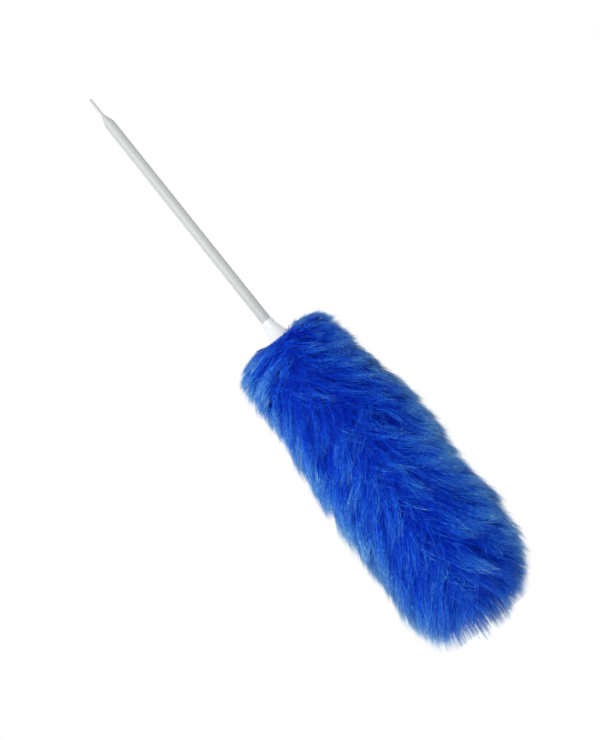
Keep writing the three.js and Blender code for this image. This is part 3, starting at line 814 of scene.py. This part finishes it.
def makeWool():
    draw = np.random.default_rng(wool["seed"])
    material = makeWoolFinish()
    large = np.arange(wool["largeLocks"])
    share = (large + 0.5) / wool["largeLocks"]
    largeArc = np.interp(share * outlineArea[-1], outlineArea, outlineArc)
    largeArc = largeArc + draw.normal(size=len(large)) * wool["arcJitter"]
    largeAngle = large * math.pi * (3 - math.sqrt(5))  # steps of the golden angle
    largeAngle = largeAngle + draw.normal(size=len(large)) * wool["angleJitter"]
    largeTone = draw.normal(size=len(large))
    largeInset = np.clip(draw.normal(size=len(large)), *wool["unevenSpan"]) * wool["uneven"]
    turnRadius = np.maximum(tipPlace(largeArc, largeAngle)[1], wool["leastRadius"])
    # small locks scattered about their large lock, strands about their small lock
    ofLarge = np.repeat(large, wool["smallLocks"])
    locks = len(ofLarge)
    spread = wool["largeSpread"]
    smallArc = largeArc[ofLarge] + draw.normal(size=locks) * spread
    smallAngle = largeAngle[ofLarge] + draw.normal(size=locks) * spread / turnRadius[ofLarge]
    smallTone = draw.normal(size=locks)
    smallClump = wool["smallClump"] * draw.uniform(*wool["smallClumpSpan"], locks)
    smallInset = np.abs(draw.normal(size=locks)) * wool["smallInset"]
    largeTwist = draw.normal(size=len(large)) * wool["twist"][0]
    smallTwist = largeTwist[ofLarge] + draw.normal(size=locks) * wool["twist"][1]
    smallSlip = draw.normal(size=locks) * wool["slip"]
    smallStray = (draw.normal(size=len(large))[ofLarge] + draw.normal(size=locks)) * wool["partStray"]
    steps, limit = np.array(wool["steps"]), wool["waveLimit"]
    smallWave = np.clip(draw.normal(size=(locks, len(steps), 3)), -limit, limit)
    smallWave = smallWave * (np.array(wool["wave"]) * mm)[None, :, None]
    ofSmall = np.repeat(np.arange(locks), wool["strands"])
    lockOf = ofLarge[ofSmall]
    count = len(ofSmall)
    spread = wool["smallSpread"]
    arc = smallArc[ofSmall] + draw.normal(size=count) * spread
    angle = smallAngle[ofSmall] + draw.normal(size=count) * spread / turnRadius[lockOf]
    own = tipPlace(arc, angle)
    small = [x[ofSmall] for x in tipPlace(smallArc, smallAngle)]
    big = [x[lockOf] for x in tipPlace(largeArc, largeAngle)]
    # at the end of the head the locks are even and hardly gathered
    nearEnd = smoothStep(big[0], wool["length"] - wool["evenFrom"], wool["length"] - wool["evenTo"])
    even = 1 - wool["evenShare"] * nearEnd
    # where on its path a strand starts and ends
    depth, radius, _ = own
    reach = np.hypot(radius, lagAt(depth)) + wool["leastReach"]
    start = 1 - wool["shown"] * draw.uniform(*wool["shownSpan"], count) / reach
    start = np.clip(start, *wool["startSpan"])
    coarse = draw.uniform(size=count) < wool["coarse"]
    # a share of the strands reach the outline, the rest end at all levels below it
    outer = draw.uniform(size=count) < wool["outerShare"]
    below = np.where(outer, wool["outerSpread"], wool["innerSpread"]) * draw.uniform(size=count)
    end = wool["reach"] - below
    end = np.where(coarse, np.minimum(end, draw.uniform(*wool["coarseEnd"], count)), end)
    end = np.maximum(end - largeInset[lockOf] * even - smallInset[ofSmall], start + wool["leastRun"])
    t = start[:, None] + (end - start)[:, None] * steps
    stray = [x[ofSmall][:, None] for x in (smallTwist, smallSlip, smallStray)]
    path = strandPath(*[x[:, None] for x in own], t, *stray)
    smallPath = strandPath(*[x[:, None] for x in small], t, *stray)
    bigPath = strandPath(*[x[:, None] for x in big], t, twist=largeTwist[lockOf][:, None], stray=stray[2])
    # gathered towards the middle of the small lock, and that towards the middle of the large one
    pull = (steps ** wool["smallClumpPower"])[None, :, None]
    path = path + (smallPath - path) * pull * smallClump[ofSmall][:, None, None]
    pull = (steps ** wool["largeClumpPower"])[None, :, None]
    path = path + (bigPath - smallPath) * pull * (wool["largeClump"] * even)[:, None, None]
    frizz = np.clip(draw.normal(size=path.shape), -limit, limit)
    frizz = frizz * (np.array(wool["frizz"]) * mm)[None, :, None]
    path = path + smallWave[ofSmall] + frizz
    thickness = wool["thickness"] * draw.uniform(*wool["thicknessSpan"], count)
    thickness = thickness * np.where(coarse, wool["coarseGirth"], 1.0)
    shades = wool["shades"]
    tone = 0.5 + shades[0] * largeTone[lockOf] + shades[1] * smallTone[ofSmall]
    tone = tone + shades[2] * draw.normal(size=count)
    # painted shade: tones darker further down the head
    tone = tone + wool["paintedShadeDown"] * (wool["paintedShadeFrom"] - depth / wool["length"])
    tone = np.clip(tone, *wool["toneSpan"])
    # outward direction of the pile's outline at each ring
    slope = np.interp(depth, outlineDepth, outlineSlope)[:, None]
    flat = path[:, :, :2] - np.stack((leanAt(depth)[:, None] * t ** 2, 0 * t), -1)
    across = np.maximum(np.linalg.norm(flat, axis=-1, keepdims=True), tiny)
    # a strand caught between the two sides of the parting is drawn back to the outline
    path[:, :, :2] += flat * (np.minimum(1, wool["farthest"] / across) - 1)
    flat /= across
    upright = np.sin(slope)[:, :, None] + 0 * t[:, :, None]
    facing = np.concatenate((flat * np.cos(slope)[:, :, None], upright), -1)
    # the colour pales along each strand, and as painted rim light towards the sides, the top and the end of
    # the head
    nearTop = wool["paintedRimTop"] * np.exp(-depth / wool["paintedRimTopRun"])[:, None]
    side = smoothStep(np.abs(flat[:, :, 0]) + nearTop, *wool["paintedRimSide"])
    tip = smoothStep(woolTop - path[:, :, 2], *(wool["length"] - np.array(wool["paintedRimEnd"])))
    # painted rim light, mixed into the dye level by its share
    pale = wool["paintedRimBase"] + wool["paintedRimGain"] * np.maximum(side, tip)
    level = (1 - wool["paintedRimShare"]) * (t - wool["dyeStart"]) / wool["dyeRun"] + wool["paintedRimShare"] * pale
    level = np.clip(level, 0, wool["dyeLimit"])
    band = lockOf * wool["bands"] // wool["largeLocks"]
    for i in range(wool["bands"]):
        pick = band == i
        piece = strandMesh("wool_band_%02d" % (i + 1), path[pick], level[pick], thickness[pick], tone[pick],
                           facing[pick], material, draw)
        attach(piece, "head")
        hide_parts("tip_fleece" if i >= wool["bands"] - wool["tipBands"] else "fleece")
    print("wool: %d strands in %d bands" % (count, wool["bands"]))


makeWool()


# Undercoat: the dense wool close to the hide, closed round the core and open at the collar
undercoat = dict(
    share=0.45, around=120, rows=150, topSink=17 * mm, tipSink=48 * mm, topRound=0.1, tipRound=0.28,
    boreRadius=7.15 * mm, collarGap=0.9 * mm, patchGap=0.4 * mm, tackRoom=2.2 * mm,
    look=dict(dye=((0.3, (0.0, 0.01, 0.85)), (0.7, (0.0, 0.03, 0.97))), fleck=260, rough=0.95, gloss=0.1,
              bump=0.8, bumpDepth=0.002),
)


def quarterRound(share):
    # height of a quarter circle, 0 to 1, at a share of its run
    return np.sqrt(np.clip(1 - np.clip(1 - share, 0, 1) ** 2, 0, 1))


def undercoatFinish(name, look):
    material, nodes, shader = newMaterial(name)
    place = nodes.new("ShaderNodeTexCoord").outputs["Object"]
    fleck = addNoise(nodes, place, look["fleck"], 5, 0.7)
    join(addRamp(nodes, fleck, look["dye"]), shader.inputs["Base Color"])
    addBump(nodes, fleck, look, shader)
    setInputs(shader, {"Roughness": look["rough"], "Specular IOR Level": look["gloss"]})
    return material


def makeUndercoat():
    # a share of the pile's radius between its two sinks, rounded off at both ends, over a stepped bore
    t = np.linspace(0, 1, undercoat["rows"])
    run = wool["length"] - undercoat["tipSink"] - undercoat["topSink"]
    depth = undercoat["topSink"] + run * (1 - np.cos(np.pi * t)) / 2
    gap = undercoat["collarGap"]
    topRadius = flareRadius(woolTop - depth[0]) + gap
    radius = pileRadius(depth) * undercoat["share"] - topRadius
    radius = topRadius + radius * quarterRound(t / undercoat["topRound"])
    radius = radius * quarterRound((1 - t) / undercoat["tipRound"])
    outer = np.stack((radius, woolTop - depth), -1)[::-1]
    low = patchLow.z - undercoat["tackRoom"]
    bore, patchBore = undercoat["boreRadius"], patchHigh.x + undercoat["patchGap"]
    inner = np.array([
        (flareRadius(collarLow.z) + gap, collarLow.z - gap), (bore, collarLow.z - gap), (bore, coreLow.z),
        (patchBore, coreLow.z), (patchBore, low), (0, low)])
    points, corners, counts = turnedArrays(np.vstack((outer, inner)), undercoat["around"])
    material = undercoatFinish("woolUndercoat", undercoat["look"])
    piece = newObject("wool_undercoat", points, corners, counts, material)
    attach(piece, "head")
    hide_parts("fleece", "tip_fleece")
    print("undercoat: %d faces" % len(counts))


makeUndercoat()


# Stage: pale floor under the hanging duster, soft light from the front left, more light from behind
stage = dict(
    floorDrop=0.45, floorSize=9.0, floorColour=(0.9, 0.9, 0.9), floorRough=0.9, glow=0.55,
    fill=0.55, back=1.06, sweep=(-0.2, 0.5),
    keyPlace=(-0.8, -1.5, 0.2), keySize=1.0, keyPower=20.0, keyAim=0.55,
)


def behindGlass(nodes):
    # 1 on rays from the camera and on rays mirrored or let through on their way to it
    path = nodes.new("ShaderNodeLightPath")
    ray = path.outputs["Is Camera Ray"]
    for other in ("Is Glossy Ray", "Is Transmission Ray"):
        either = addNode(nodes, "ShaderNodeMath", operation="MAXIMUM")
        join(ray, either.inputs[0])
        join(path.outputs[other], either.inputs[1])
        ray = either.outputs[0]
    return ray


def makeStage():
    world = bpy.data.worlds.new("studio")
    world.use_nodes = True
    scene.world = world
    nodes = world.node_tree.nodes
    level = addNode(nodes, "ShaderNodeMapRange", {"To Min": stage["fill"], "To Max": 1.0})
    join(behindGlass(nodes), level.inputs["Value"])
    # more light from behind the duster, as from a white sweep
    way = nodes.new("ShaderNodeTexCoord")
    split = nodes.new("ShaderNodeSeparateXYZ")
    join(way.outputs["Generated"], split.inputs["Vector"])
    sweep = addRange(nodes, split.outputs["Y"], *stage["sweep"], stage["fill"], stage["back"])
    join(sweep, level.inputs["To Min"])
    nodes["Background"].inputs["Color"].default_value = (1, 1, 1, 1)
    join(level.outputs["Result"], nodes["Background"].inputs["Strength"])
    material, nodes, shader = newMaterial("paleFloor")
    setInputs(shader, {"Base Color": (*stage["floorColour"], 1), "Roughness": stage["floorRough"],
                       "Specular IOR Level": 0.0, "Emission Color": (1, 1, 1, 1)})
    glow = addNode(nodes, "ShaderNodeMath", {1: stage["glow"]}, operation="MULTIPLY")
    join(behindGlass(nodes), glow.inputs[0])
    join(glow.outputs[0], shader.inputs["Emission Strength"])
    half, floorZ = stage["floorSize"] / 2, tipLow.z - stage["floorDrop"]
    corner = np.array([(x * half, y * half, floorZ) for x, y in ((-1, -1), (1, -1), (1, 1), (-1, 1))])
    floor = newObject("floor", corner, np.arange(4), np.array([4]), material)
    lamp = bpy.data.lights.new("key", "AREA")
    lamp.energy = stage["keyPower"]
    lamp.size = stage["keySize"]
    key = bpy.data.objects.new("key", lamp)
    key.location = stage["keyPlace"]
    aim = Vector((0, 0, (tubeHigh.z + tipLow.z) * stage["keyAim"])) - key.location
    key.rotation_euler = aim.to_track_quat("-Z", "Y").to_euler()
    scene.collection.objects.link(key)
    print("stage: floor at %.3f m" % floorZ)


makeStage()

bpy.context.view_layer.update()
